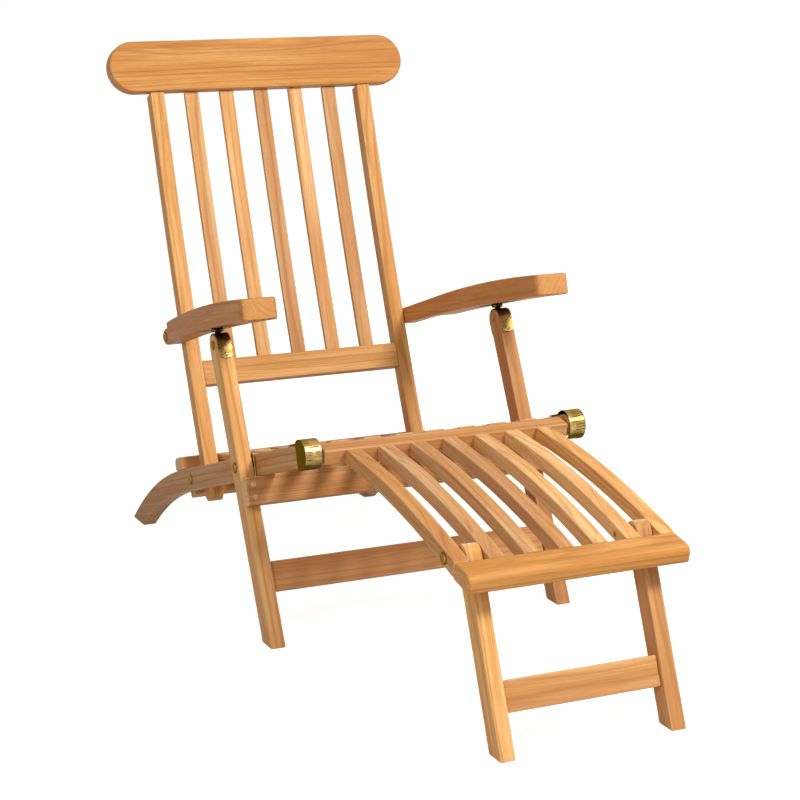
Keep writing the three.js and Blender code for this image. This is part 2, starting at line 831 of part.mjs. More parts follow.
function makeFootrest() {
  const footrest = new THREE.Group();
  footrest.position.z = hingeHeight;
  footrest.rotation.x = degToRad(footSlope);
  addPiece(footrest, 'foot_rear_rail', footRailGeometry(), frameTeak());

  const half = footSlatWidth / 2;
  for (let i = -2; i <= 2; i += 1) {
    const centre = i * slatSpacing;
    const slat = acrossChair(footSlatOutline(Math.abs(i) === 2), centre - half, centre + half);
    addPiece(footrest, `foot_slat_${i + 3}`, slat, slatTeak());
  }
  const boltInner = 2 * slatSpacing - half;
  for (const [side, sign] of sides) {
    const inner = sign * (footOuterSlat - half);
    const rail = acrossChair(footSlatOutline(true), inner, sign * footOuterFace);
    addPiece(footrest, `foot_side_rail_${side}`, rail, frameTeak());
    const bolt = boltGeometry(
      sign * boltInner,
      sign * (footOuterFace + fitGap),
      boltRadius,
      boltHeadRadius,
      boltHeadHeight,
    );
    const legBolt = addPiece(footrest, `foot_leg_bolt_${side}`, bolt, brass());
    legBolt.position.set(0, -footLegFromHinge, footLegRise);
  }
  const board = acrossChair(frontBoardOutline(), -footOuterFace, footOuterFace);
  addPiece(footrest, 'foot_front_board', board, armTeak());

  const legs = new THREE.Group();
  const legHeight = hingeHeight + turned(-footLegFromHinge, footLegRise, footSlope)[1];
  legs.position.set(0, -footLegFromHinge, footLegRise);
  legs.rotation.x = -legTurn;
  for (const [side, sign] of sides) {
    const outline = legOutline(footLegDepth / 2, 0, footLegLean, legHeight);
    bore(outline, 0, 0, boltRadius + fitGap);
    const leg = acrossChair(outline, sign * footLegInner, sign * footLegOuter);
    addPiece(legs, `foot_leg_${side}`, leg, frameTeak());
  }
  const stretcherHalf = footStretcherThickness / 2;
  const stretcher = barOutline(
    -stretcherHalf,
    stretcherHalf,
    -footStretcherDrop - footStretcherHeight,
    -footStretcherDrop,
  );
  const inside = footLegInner - fitGap;
  addPiece(legs, 'foot_stretcher', acrossChair(stretcher, -inside, inside), frameTeak());
  footrest.add(legs);
  return footrest;
}

function makeChair() {
  const chair = new THREE.Group();
  chair.add(makeSeatFrame());

  const back = makeBack();
  addPivotBolts(back, 'back_bolt', stileInner, railOuter);
  back.position.set(0, pivotY, hingeHeight + pivotZ);
  chair.add(back);

  const arms = makeArms();
  arms.position.set(0, armPlace[0], armPlace[1]);
  chair.add(arms);

  const legs = makeLegFrame();
  legs.position.set(0, postY, hingeHeight + postZ);
  chair.add(legs);

  chair.add(makeFootrest());

  // The origin goes on the ground under the middle of the whole chair
  chair.updateMatrixWorld(true);
  const box = new THREE.Box3().setFromObject(chair, true);
  const centre = box.getCenter(new THREE.Vector3());
  chair.position.y = -centre.y;
  return chair;
}

export default makeChair();
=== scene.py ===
import json
import math
import random

import bmesh
import bpy
import numpy as np
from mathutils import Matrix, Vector


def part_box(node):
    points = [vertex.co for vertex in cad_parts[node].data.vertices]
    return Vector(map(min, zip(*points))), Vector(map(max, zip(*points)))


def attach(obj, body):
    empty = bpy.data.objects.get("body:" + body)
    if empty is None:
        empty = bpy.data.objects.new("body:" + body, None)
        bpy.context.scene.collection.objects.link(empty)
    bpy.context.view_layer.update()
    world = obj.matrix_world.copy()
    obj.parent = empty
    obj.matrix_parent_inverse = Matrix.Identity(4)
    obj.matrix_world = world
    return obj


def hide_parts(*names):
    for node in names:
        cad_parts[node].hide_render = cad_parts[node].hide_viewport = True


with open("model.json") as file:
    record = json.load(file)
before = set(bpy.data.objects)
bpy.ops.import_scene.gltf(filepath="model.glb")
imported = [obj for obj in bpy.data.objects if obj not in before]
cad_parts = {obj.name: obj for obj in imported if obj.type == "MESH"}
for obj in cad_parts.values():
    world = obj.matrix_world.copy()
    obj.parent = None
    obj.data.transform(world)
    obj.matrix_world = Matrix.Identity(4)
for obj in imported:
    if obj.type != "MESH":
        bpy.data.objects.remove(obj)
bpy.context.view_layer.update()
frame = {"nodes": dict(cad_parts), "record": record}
nodes = frame["nodes"]
print("frame loaded:", len(nodes), "nodes")


# camera: a long lens at the photograph's angle
camera = {
    "place": (-1.4815, -3.2370, 1.2153),
    "sight": (0.40748, 0.88363, -0.23054),  # where it looks
    "lens": 94.8,
    "sensor": 36.0,
}


def makeCamera():
    data = bpy.data.cameras.new("chairCamera")
    data.lens = camera["lens"]
    data.sensor_width = camera["sensor"]
    seen = bpy.data.objects.new("chairCamera", data)
    seen.location = camera["place"]
    seen.rotation_euler = Vector(camera["sight"]).to_track_quat("-Z", "Y").to_euler()
    bpy.context.scene.collection.objects.link(seen)
    bpy.context.scene.camera = seen


makeCamera()
print("camera placed")


# shader maths written as expressions
class Wire:
    def __init__(self, shader, socket):
        self.shader = shader
        self.socket = socket

    def combine(self, operation, first, second):
        return self.shader.node("ShaderNodeMath", {"operation": operation}, {0: first, 1: second})

    def __add__(self, other):
        return self.combine("ADD", self, other)

    def __sub__(self, other):
        return self.combine("SUBTRACT", self, other)

    def __rsub__(self, other):
        return self.combine("SUBTRACT", other, self)

    def __mul__(self, other):
        return self.combine("MULTIPLY", self, other)

    def larger(self, other):
        return self.combine("MAXIMUM", self, other)

    __radd__ = __add__
    __rmul__ = __mul__


class Shader:
    def __init__(self, owner):
        owner.use_nodes = True
        self.owner = owner
        self.tree = owner.node_tree
        self.tree.nodes.clear()

    def node(self, kind, settings=None, inputs=None, output=0):
        made = self.tree.nodes.new(kind)
        for key, value in (settings or {}).items():
            setattr(made, key, value)
        for key, value in (inputs or {}).items():
            if isinstance(value, Wire):
                self.tree.links.new(value.socket, made.inputs[key])
            else:
                made.inputs[key].default_value = value
        return Wire(self, made.outputs[output]) if len(made.outputs) else None

    def mixColour(self, share, first, second, blend="MIX"):
        settings = {"data_type": "RGBA", "blend_type": blend}
        return self.node("ShaderNodeMix", settings, {0: share, 6: first, 7: second}, 2)

    def ramp(self, value, span):
        inputs = {"Value": value, "From Min": span[0], "From Max": span[1]}
        return self.node("ShaderNodeMapRange", {"clamp": True}, inputs)

    def attribute(self, name, output):
        return self.node("ShaderNodeAttribute", {"attribute_name": name}, None, output)

    def scaled(self, vector, scale):
        settings = {"operation": "MULTIPLY"}
        return self.node("ShaderNodeVectorMath", settings, {0: vector, 1: scale})

    def noise(self, vector, layer):
        return self.node("ShaderNodeTexNoise", {"noise_dimensions": "3D"}, {
            "Vector": self.scaled(vector, layer["scale"]),
            "Scale": 1.0,
            "Detail": layer["detail"],
            "Roughness": layer["rough"],
        })

    # 1 for the rays that show a background: to the camera, in shine and through glass
    def isShown(self):
        kinds = ("Is Camera Ray", "Is Glossy Ray", "Is Transmission Ray")
        straight, mirrored, through = [self.node("ShaderNodeLightPath", None, None, kind) for kind in kinds]
        return straight.larger(mirrored).larger(through)

    def finish(self, surface, output="ShaderNodeOutputMaterial"):
        self.node(output, None, {"Surface": surface})
        return self.owner


def tint(red, green, blue):
    return (red, green, blue, 1.0)


# teak: honey body with straw streaks, and brown lines for its rings, veins, fibres and pores
teakLooks = {
    "frameTeak": {
        "pale": tint(0.800, 0.490, 0.222),
        "body": tint(0.665, 0.340, 0.120),
        "line": tint(0.350, 0.135, 0.034),
        "end": tint(0.860, 0.640, 0.390),
        "rough": 0.52,
    },
    "slatTeak": {
        "pale": tint(0.860, 0.575, 0.300),
        "body": tint(0.730, 0.410, 0.168),
        "line": tint(0.390, 0.160, 0.044),
        "end": tint(0.740, 0.480, 0.240),
        "rough": 0.50,
    },
    "armTeak": {
        "pale": tint(0.715, 0.375, 0.125),
        "body": tint(0.590, 0.262, 0.068),
        "line": tint(0.300, 0.105, 0.024),
        "end": tint(0.660, 0.350, 0.135),
        "rough": 0.47,
    },
    "recessShadeTeak": {  # painted shade: a near-black ring standing in for the shade in the recess round each bolt head
        "pale": tint(0.200, 0.085, 0.030),
        "body": tint(0.150, 0.060, 0.020),
        "line": tint(0.080, 0.030, 0.010),
        "end": tint(0.150, 0.060, 0.020),
        "rough": 0.60,
    },
}
# each layer of noise: its scale along and across the board, the span of noise
# over which it comes in, and its share of the colour
grainLayers = {
    "bend": {  # slow wander of the rings along the board
        "scale": (2.2, 16.0, 16.0), "detail": 2.0, "rough": 0.5,
    },
    "streak": {  # broad light and dark bands
        "scale": (3.0, 60.0, 60.0), "detail": 3.0, "rough": 0.5, "span": (0.42, 0.68),
    },
    "cloud": {  # rosy patches
        "scale": (2.0, 9.0, 9.0), "detail": 2.0, "rough": 0.5, "span": (0.45, 0.75), "share": 0.50,
    },
    "vein": {  # long dark mineral streaks
        "scale": (1.6, 150.0, 150.0), "detail": 2.0, "rough": 0.6, "span": (0.58, 0.72), "share": 0.38,
    },
    "fibre": {
        "scale": (18.0, 420.0, 420.0), "detail": 3.0, "rough": 0.6, "span": (0.52, 0.74), "share": 0.32,
    },
    "pore": {
        "scale": (40.0, 1500.0, 1500.0), "detail": 1.0, "rough": 0.5, "span": (0.60, 0.72), "share": 0.40,
    },
}
ringLayer = {
    "toTheMetre": 210.0,
    "wander": 5.0,           # how many rings the bend can shift them by
    "detail": 2.0,
    "rough": 0.6,
    "span": (0.50, 0.68),
    "share": 0.40,
    "endSpan": (0.45, 0.62),  # the same on a cut end, where rings stand out more
    "endShare": 0.55,
}
teakTone = {
    "rosy": tint(0.500, 0.215, 0.100),
    "darkBoard": tint(0.80, 0.69, 0.63),   # each board is multiplied by a colour between these
    "lightBoard": tint(1.16, 1.12, 0.98),
    "endShare": 0.60,                      # how much a cut end takes its own colour
    "rubAndHighlightSpan": (0.30, 0.62),
    "rubAndHighlightShare": 0.35,                      # how pale an eased edge goes, from wear and a painted highlight
}
teakFinish = {
    "fibreRough": 0.16,
    "poreRough": 0.10,
    "rubSmooth": 0.10,
    "smoother": 0.06,   # taken off, since the noise only adds
    "fibreHeight": 0.6,
    "poreHeight": 0.4,
    "ringHeight": 0.3,
    "bump": 0.22,
    "depth": 0.0006,
    "specular": 0.12,
}


def teakMaterial(name):
    look = teakLooks[name]
    s = Shader(bpy.data.materials.new(name))
    grain = s.attribute("grain", "Vector")
    tone = s.attribute("tone", "Fac")
    ends = s.attribute("endGrain", "Fac")
    wornAndLit = s.attribute("edgeWearAndHighlight", "Fac")
    noise = {layer: s.noise(grain, grainLayers[layer]) for layer in grainLayers}

    across = s.scaled(grain, (0.0, 1.0, 1.0))
    distance = s.node("ShaderNodeVectorMath", {"operation": "LENGTH"}, {0: across}, "Value")
    phase = distance * ringLayer["toTheMetre"] + noise["bend"] * ringLayer["wander"]
    rings = s.node("ShaderNodeTexNoise", {"noise_dimensions": "1D"}, {
        "W": phase,
        "Scale": 1.0,
        "Detail": ringLayer["detail"],
        "Roughness": ringLayer["rough"],
    })

    marks = {
        key: s.ramp(noise[key], layer["span"])
        for key, layer in grainLayers.items()
        if "span" in layer
    }
    ringLine = s.ramp(rings, ringLayer["span"])
    colour = s.mixColour(marks["streak"], look["body"], look["pale"])
    colour = s.mixColour(ringLine * ringLayer["share"], colour, look["line"])
    for layer in ("vein", "fibre", "pore"):
        colour = s.mixColour(marks[layer] * grainLayers[layer]["share"], colour, look["line"])
    rosy = s.mixColour(marks["cloud"] * grainLayers["cloud"]["share"], colour, teakTone["rosy"])
    boardTone = s.mixColour(tone, teakTone["darkBoard"], teakTone["lightBoard"])
    toned = s.mixColour(1.0, rosy, boardTone, "MULTIPLY")
    endRings = s.ramp(rings, ringLayer["endSpan"]) * ringLayer["endShare"]
    endColour = s.mixColour(endRings, look["end"], look["body"])
    cut = s.mixColour(ends * teakTone["endShare"], toned, endColour)
    # eased edges go paler: partly wear, partly a painted highlight along the edges
    rubbedAndLit = wornAndLit * s.ramp(noise["streak"], teakTone["rubAndHighlightSpan"])
    base = s.mixColour(rubbedAndLit * teakTone["rubAndHighlightShare"], cut, look["pale"])

    rough = noise["fibre"] * teakFinish["fibreRough"] + marks["pore"] * teakFinish["poreRough"]
    rough = rough - rubbedAndLit * teakFinish["rubSmooth"] + (look["rough"] - teakFinish["smoother"])
    height = noise["fibre"] * teakFinish["fibreHeight"] + (1 - marks["pore"]) * teakFinish["poreHeight"]
    height = height + (1 - ringLine) * teakFinish["ringHeight"]
    bump = s.node("ShaderNodeBump", None, {
        "Strength": teakFinish["bump"],
        "Distance": teakFinish["depth"],
        "Height": height,
    }, "Normal")
    surface = s.node("ShaderNodeBsdfPrincipled", None, {
        "Base Color": base,
        "Roughness": rough,
        "Normal": bump,
        "Specular IOR Level": teakFinish["specular"],
    })
    return s.finish(surface)


# brass: duller in tarnished patches, and darker on the faces turned from the front and top, a painted shade
# standing in for dark reflections there
brassLooks = {
    "brass": {
        "bright": tint(0.52, 0.35, 0.12),
        "dull": tint(0.30, 0.19, 0.06),
        "under": tint(0.062, 0.046, 0.018),  # painted shade on the undersides and sides, standing in for dark reflections
        "rough": 0.25,
    },
    # a darker copy of the brass for the saddles: painted shade for their dimmer reflections
    "saddleBrass": {
        "bright": tint(0.36, 0.23, 0.075),
        "dull": tint(0.17, 0.10, 0.03),
        "under": tint(0.070, 0.045, 0.016),
        "rough": 0.27,
    },
    "boltBrass": {
        "bright": tint(0.44, 0.25, 0.06),
        "dull": tint(0.20, 0.10, 0.02),
        "under": tint(0.24, 0.115, 0.02),
        "rough": 0.32,
    },
}
brassLayers = {
    "tarnish": {
        "scale": (55.0, 55.0, 55.0), "detail": 4.0, "rough": 0.6, "span": (0.40, 0.66),
    },
    "spots": {
        "scale": (420.0, 420.0, 420.0), "detail": 2.0, "rough": 0.6, "span": (0.62, 0.74), "share": 0.5,
    },
    "scuffs": {
        "scale": (900.0, 160.0, 900.0), "detail": 3.0, "rough": 0.7,
    },
}
brassFinish = {
    "paintedLightWay": (0.0, -0.6, 0.8),   # faces turned this way keep the bright colour, the others take the painted shade
    "paintedLightSpan": (0.05, 0.60),
    "tarnishRough": 0.16,
    "scuffRough": 0.14,
    "smoother": 0.06,              # taken off, since the noise only adds
    "bump": 0.12,
    "depth": 0.0002,
    "shine": tint(0.66, 0.54, 0.32),  # keeps the glancing shine yellow
}


def brassMaterial(name):
    look = brassLooks[name]
    s = Shader(bpy.data.materials.new(name))
    place = s.node("ShaderNodeTexCoord", None, None, "Object")
    noise = {layer: s.noise(place, brassLayers[layer]) for layer in brassLayers}
    dulled = s.ramp(noise["tarnish"], brassLayers["tarnish"]["span"])
    spotted = s.ramp(noise["spots"], brassLayers["spots"]["span"]) * brassLayers["spots"]["share"]
    colour = s.mixColour(dulled, look["bright"], look["dull"])
    colour = s.mixColour(spotted, colour, look["dull"])
    # painted shade: a fitting's faces turned from the front and top are darkened, standing in for dark
    # reflections
    facing = s.node("ShaderNodeTexCoord", None, None, "Normal")
    ways = {0: facing, 1: brassFinish["paintedLightWay"]}
    paintedLightShare = s.node("ShaderNodeVectorMath", {"operation": "DOT_PRODUCT"}, ways, "Value")
    colour = s.mixColour(s.ramp(paintedLightShare, brassFinish["paintedLightSpan"]), look["under"], colour)
    rough = dulled * brassFinish["tarnishRough"] + noise["scuffs"] * brassFinish["scuffRough"]
    rough = rough + look["rough"] - brassFinish["smoother"]
    bump = s.node("ShaderNodeBump", None, {
        "Strength": brassFinish["bump"],
        "Distance": brassFinish["depth"],
        "Height": noise["scuffs"],
    }, "Normal")
    surface = s.node("ShaderNodeBsdfPrincipled", None, {
        "Base Color": colour,
        "Metallic": 1.0,
        "Specular Tint": brassFinish["shine"],
        "Roughness": rough,
        "Normal": bump,
    })
    return s.finish(surface)


materials = {name: teakMaterial(name) for name in teakLooks}
materials.update({name: brassMaterial(name) for name in brassLooks})
print("materials made:", ", ".join(materials))


# the frame's own axes and centres, read from the joints and bolts
jointPlace = {joint["name"]: Vector(joint["pos_m"]) for joint in frame["record"]["behaviour"]["joints"]}
backPivot = jointPlace["back_fold"]
armPivot = jointPlace["arm_fold_left"]
postPivot = jointPlace["leg_fold"]
hingePlace = jointPlace["footrest_lift"]
footLegPivot = jointPlace["footrest_leg_fold"]
railWay = (backPivot - postPivot).normalized()
backWay = (armPivot - backPivot).normalized()
footWay = (hingePlace - footLegPivot).normalized()
boltNodes = [name for name in nodes if "bolt" in name]


def middleOf(name):
    low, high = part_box(name)
    return (Vector(low) + Vector(high)) / 2


boreCentres = [middleOf(name) for name in boltNodes] + [hingePlace]
bodyOfNode = {
    node: body
    for body, members in frame["record"]["behaviour"]["bodies"].items()
    for node in members
}


def addObject(name, mesh):
    made = bpy.data.objects.new(name, mesh)
    bpy.context.scene.collection.objects.link(made)
    return made


def plainMesh(source, name):
    settled = source.evaluated_get(bpy.context.evaluated_depsgraph_get())
    mesh = bpy.data.meshes.new_from_object(settled)
    mesh.name = name
    source.modifiers.clear()
    source.data = mesh
    return source


def meshPoints(mesh):
    points = np.empty(len(mesh.vertices) * 3)
    mesh.vertices.foreach_get("co", points)
    return points.reshape(-1, 3)


def nodePoints(node):
    return meshPoints(nodes[node].data)


def seedOf(name):
    return sum((place + 1) * ord(letter) for place, letter in enumerate(name))


# grain: each board's own axes, so that rings and fibres run along it
boardGrain = {
    "along": (0.0, 3.0),       # metres from the board to the heart of its tree
    "aside": (0.015, 0.05),
    "behind": (0.03, 0.09),
    "acrossChair": 0.9,        # a board that lies more across the chair than this is turned by Y
    "endFacing": 0.8,          # a face turned further along the board than this is a cut end
    "wearAndHighlightWidth": 0.0016,       # a face narrower than this is an eased edge, which takes wear and a painted highlight
}


def longAxis(points):
    spread = points - points.mean(axis=0)
    return Vector(np.linalg.svd(spread, full_matrices=False)[2][0])


def boardAxes(along):
    liesAcross = abs(along.x) >= boardGrain["acrossChair"]
    side = Vector((0, 1, 0)) if liesAcross else Vector((1, 0, 0))
    thick = along.cross(side).normalized()
    return np.array([along, thick.cross(along).normalized(), thick])


def giveGrain(mesh, strips):
    points = meshPoints(mesh)
    grain = np.zeros((len(points), 3))
    tone = np.zeros(len(points))
    axisOf = {}
    for name, members, way in strips:
        dice = random.Random(seedOf(name))
        own = points[members]
        along = (way or longAxis(own)).normalized()
        centred = own - own.mean(axis=0)
        heart = [
            dice.uniform(*boardGrain["along"]),
            dice.choice((-1, 1)) * dice.uniform(*boardGrain["aside"]),
            dice.uniform(*boardGrain["behind"]),
        ]
        grain[members] = centred @ boardAxes(along).T + np.array(heart)
        tone[members] = dice.random()
        for member in members:
            axisOf[int(member)] = along
    mesh.attributes.new("grain", "FLOAT_VECTOR", "POINT").data.foreach_set("vector", grain.ravel())
    mesh.attributes.new("tone", "FLOAT", "POINT").data.foreach_set("value", tone)
    ends = mesh.attributes.new("endGrain", "FLOAT", "CORNER")
    wearAndHighlight = mesh.attributes.new("edgeWearAndHighlight", "FLOAT", "CORNER")
    for face in mesh.polygons:
        along = axisOf[face.vertices[0]]
        isEnd = abs(face.normal.dot(along)) > boardGrain["endFacing"]
        corners = [mesh.vertices[index].co for index in face.vertices]
        longest = max((one - other).length for one, other in zip(corners, corners[1:] + corners[:1]))
        # narrow eased faces are marked for wear and a painted edge highlight
        isEdge = face.area < longest * boardGrain["wearAndHighlightWidth"]
        for corner in face.loop_indices:
            ends.data[corner].value = float(isEnd)
            wearAndHighlight.data[corner].value = float(isEdge)


# easing: the sharp convex edges of a solid are rounded over
easing = {
    "weld": 1e-5,                # corners this close are one
    "level": math.radians(0.6),  # faces this near to one plane are joined
    "flat": math.radians(5),     # a crease under this may be dissolved
    "sharp": math.radians(35),   # an edge from this on is eased
    "inLine": 0.99,              # cosine past which two edges run on in one line
    "boreReach": 0.0055,         # an edge this near to a bolt's axis is its bore's and stays sharp
    "faceWeight": 80,            # how far large faces lead the shading
}


def isSharp(edge):
    return edge.calc_face_angle(0.0) >= easing["sharp"]


def isAtBore(edge):
    return any(
        max((corner.co.yz - centre.yz).length for corner in edge.verts) < easing["boreReach"]
        for centre in boreCentres
    )


# a shallow crease in line with a sharp edge would drag the easing out along itself
def runsOn(edge):
    for corner in edge.verts:
        away = (edge.other_vert(corner).co - corner.co).normalized()
        for other in corner.link_edges:
            if other is edge or not isSharp(other):
                continue
            if (other.other_vert(corner).co - corner.co).normalized().dot(away) < -easing["inLine"]:
                return True
    return False


# short sharp edges leave the easing no room, and it would fold over itself there
def isCrowded(edge, room):
    beside = [other for corner in edge.verts for other in corner.link_edges]
    return any(other.calc_length() < room and isSharp(other) for other in beside)


def easeNode(node, ease, steps, room=0.0):
    bm = bmesh.new()
    bm.from_mesh(nodes[node].data)
    bmesh.ops.remove_doubles(bm, verts=bm.verts, dist=easing["weld"])
    bmesh.ops.dissolve_limit(bm, angle_limit=easing["level"], verts=bm.verts, edges=bm.edges)
    shallow = [edge for edge in bm.edges if edge.calc_face_angle(math.pi) < easing["flat"]]
    bmesh.ops.dissolve_edges(bm, edges=[edge for edge in shallow if runsOn(edge)])
    weights = bm.edges.layers.float.new("bevel_weight_edge")
    for edge in bm.edges:
        if isSharp(edge) and edge.is_convex and not isCrowded(edge, room) and not isAtBore(edge):
            edge[weights] = 1.0
    mesh = bpy.data.meshes.new(node + "Eased")
    bm.to_mesh(mesh)
    bm.free()
    mesh.shade_smooth()
    piece = addObject("eased_" + node, mesh)
    bevel = piece.modifiers.new("ease", "BEVEL")
    bevel.limit_method = "WEIGHT"
    bevel.width = ease
    bevel.segments = steps
    bevel.use_clamp_overlap = False
    normals = piece.modifiers.new("flatten", "WEIGHTED_NORMAL")
    normals.weight = easing["faceWeight"]
    return plainMesh(piece, node + "Eased")


# edges turned further than this many degrees shade as corners
def sharpen(piece, degrees):
    bm = bmesh.new()
    bm.from_mesh(piece.data)
    for edge in bm.edges:
        edge.smooth = edge.calc_face_angle(math.pi) < math.radians(degrees)
    bm.to_mesh(piece.data)
    bm.free()


def dress(piece, material, body, *replaced):
    piece.data.materials.clear()
    piece.data.materials.append(materials[material])
    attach(piece, body)
    if replaced:
        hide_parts(*replaced)


# boards, each eased along its edges; those that people touch are rounder and browner
boards = {
    "steps": 3,
    "ease": 0.0022,
    "armEase": 0.0040,
    "frame": [
        "side_rail_left", "side_rail_right", "rear_crossbar", "rear_stretcher", "front_seat_rail",
        "seat_batten", "back_stile_left", "back_stile_right", "back_lower_rail",
        "post_left", "post_right", "front_apron", "lower_stretcher", "foot_rear_rail",
        "foot_side_rail_left", "foot_side_rail_right", "foot_leg_left", "foot_leg_right",
        "foot_stretcher",
    ],
    "arms": ["head_board", "arm_left", "arm_right", "foot_front_board"],
}


def makeBoard(node, ease, material):
    piece = easeNode(node, ease, boards["steps"])
    way = railWay if node.startswith("side_rail") else None
    giveGrain(piece.data, [(node, np.arange(len(piece.data.vertices)), way)])
    dress(piece, material, bodyOfNode[node], node)


for node in boards["frame"]:
    makeBoard(node, boards["ease"], "frameTeak")
for node in boards["arms"]:
    makeBoard(node, boards["armEase"], "armTeak")
print("boards eased:", len(boards["frame"]) + len(boards["arms"]))


# geometry node trees
def newTree(name, inputs):
    tree = bpy.data.node_groups.new(name, "GeometryNodeTree")
    sockets = {}
    for label, kind in inputs:
        sockets[label] = tree.interface.new_socket(name=label, in_out="INPUT", socket_type=kind)
    tree.interface.new_socket(name="Geometry", in_out="OUTPUT", socket_type="NodeSocketGeometry")
    return tree, tree.nodes.new("NodeGroupInput"), tree.nodes.new("NodeGroupOutput"), sockets


def treeNode(tree, kind, settings=None, inputs=None):
    made = tree.nodes.new(kind)
    for key, value in (settings or {}).items():
        setattr(made, key, value)
    for key, value in (inputs or {}).items():
        if isinstance(value, bpy.types.NodeSocket):
            tree.links.new(value, made.inputs[key])
        else:
            made.inputs[key].default_value = value
    return made


def endTree(tree, outside, shape, material):
    real = treeNode(tree, "GeometryNodeRealizeInstances", None, {0: shape})
    painted = treeNode(tree, "GeometryNodeSetMaterial", None, {
        "Geometry": real.outputs[0],
        "Material": material,
    })
    tree.links.new(painted.outputs[0], outside.inputs[0])


def growPiece(name, tree, sockets, values, seedMesh=None):
    piece = addObject(name, seedMesh or bpy.data.meshes.new(name))
    grown = piece.modifiers.new("grow", "NODES")
    grown.node_group = tree
    for label, value in values.items():
        grown[sockets[label].identifier] = value
    return plainMesh(piece, name)


# slats: a rounded strip swept along a shallow arch, set out at one pitch
slatRows = {
    "seatSlats": {"nodes": "seat_slat_", "count": 7, "way": railWay, "round": 0.0022},
    "footSlats": {"nodes": "foot_slat_", "count": 5, "way": footWay, "round": 0.0026},
    "backSlats": {"nodes": "back_slat_", "count": 5, "way": backWay, "round": 0.0022},
}
slat = {
    "pathSteps": 32,
    "cornerSteps": 4,
    "thickShare": 0.985,  # of its solid's thickness
    "nearEnd": 0.001,     # points this near to the nearest one along the slat are measured with it
    "crease": 40,
}


def slatTree():
    tree, given, outside, sockets = newTree("slatRow", [
        ("Start", "NodeSocketVector"),
        ("Middle", "NodeSocketVector"),
        ("End", "NodeSocketVector"),
        ("Width", "NodeSocketFloat"),
        ("Thickness", "NodeSocketFloat"),
        ("Round", "NodeSocketFloat"),
        ("Count", "NodeSocketInt"),
        ("First", "NodeSocketVector"),
        ("Pitch", "NodeSocketVector"),
        ("Material", "NodeSocketMaterial"),
    ])
    take = given.outputs
    path = treeNode(tree, "GeometryNodeCurveQuadraticBezier", None, {
        "Resolution": slat["pathSteps"],
        "Start": take["Start"],
        "Middle": take["Middle"],
        "End": take["End"],
    })
    upright = treeNode(tree, "GeometryNodeSetCurveNormal", {"mode": "Z_UP"}, {"Curve": path.outputs[0]})
    section = treeNode(tree, "GeometryNodeCurvePrimitiveQuadrilateral", None, {
        "Width": take["Width"],
        "Height": take["Thickness"],
    })
    rounded = treeNode(tree, "GeometryNodeFilletCurve", {"mode": "POLY"}, {
        "Curve": section.outputs[0],
        "Radius": take["Round"],
        "Count": slat["cornerSteps"],
    })
    strip = treeNode(tree, "GeometryNodeCurveToMesh", None, {
        "Curve": upright.outputs[0],
        "Profile Curve": rounded.outputs[0],
        "Fill Caps": True,
    })
    row = treeNode(tree, "GeometryNodeMeshLine", None, {
        "Count": take["Count"],
        "Start Location": take["First"],
        "Offset": take["Pitch"],
    })
    many = treeNode(tree, "GeometryNodeInstanceOnPoints", None, {
        "Points": row.outputs[0],
        "Instance": strip.outputs[0],
    })
    endTree(tree, outside, many.outputs[0], take["Material"])
    return tree, sockets


# a slat's solid as a bent line: its start, the point that bends it, its end, width and thickness
def slatPath(node, way):
    points = nodePoints(node)
    places = points @ np.array(way)
    low, high = places.min(), places.max()

    def centreAt(place):
        nearest = np.abs(places - place).min()
        ring = points[np.abs(places - place) < nearest + slat["nearEnd"]]
        return Vector((ring.min(axis=0) + ring.max(axis=0)) / 2), ring

    start, ring = centreAt(low)
    end = centreAt(high)[0]
    middle = centreAt((low + high) / 2)[0]
    thick = (Vector(ring[:, 1:].max(axis=0)) - Vector(ring[:, 1:].min(axis=0))).length
    width = points[:, 0].max() - points[:, 0].min()
    return start, 2 * middle - (start + end) / 2, end, width, thick


def makeSlatRow(name, tree, sockets):
    row = slatRows[name]
    members = [row["nodes"] + str(number + 1) for number in range(row["count"])]
    first = middleOf(members[0]).x
    pitch = middleOf(members[1]).x - first
    start, middle, end, width, thick = slatPath(members[0], row["way"])
    flat = [Vector((0, point.y, point.z)) for point in (start, middle, end)]
    piece = growPiece(name, tree, sockets, {
        "Start": flat[0],
        "Middle": flat[1],
        "End": flat[2],
        "Width": width,
        "Thickness": thick * slat["thickShare"],
        "Round": row["round"],
        "Count": row["count"],
        "First": Vector((first, 0, 0)),
        "Pitch": Vector((pitch, 0, 0)),
        "Material": materials["slatTeak"],
    })
    which = np.rint((meshPoints(piece.data)[:, 0] - first) / pitch).astype(int)
    strips = [(node, np.where(which == number)[0], None) for number, node in enumerate(members)]
    giveGrain(piece.data, strips)
    piece.data.shade_smooth()
    sharpen(piece, slat["crease"])
    dress(piece, "slatTeak", bodyOfNode[members[0]], *members)


slatGrower, slatSockets = slatTree()
for rowName in slatRows:
    makeSlatRow(rowName, slatGrower, slatSockets)
print("slat rows grown:", len(slatRows))


# brass fittings: cut from the frame's own solids, with eased edges
fittings = {
    "steps": 2,
    "ease": 0.0005,
    "capRoom": 0.0016,  # edges beside shorter ones stay sharp on the hinge caps
    "nodes": [
        "hinge_cap_left", "hinge_cap_right", "saddle_left", "saddle_right",
        "arm_rack_left", "arm_rack_right", "wear_plate_left", "wear_plate_right",
        "hinge_pin_left", "hinge_pin_right",
    ],
}


def makeFitting(node):
    room = fittings["capRoom"] if "cap" in node else 0.0
    material = "saddleBrass" if node.startswith("saddle") else "brass"
    fitting = easeNode(node, fittings["ease"], fittings["steps"], room)
    dress(fitting, material, bodyOfNode[node], node)


for node in fittings["nodes"]:
    makeFitting(node)
print("fittings eased:", len(fittings["nodes"]))


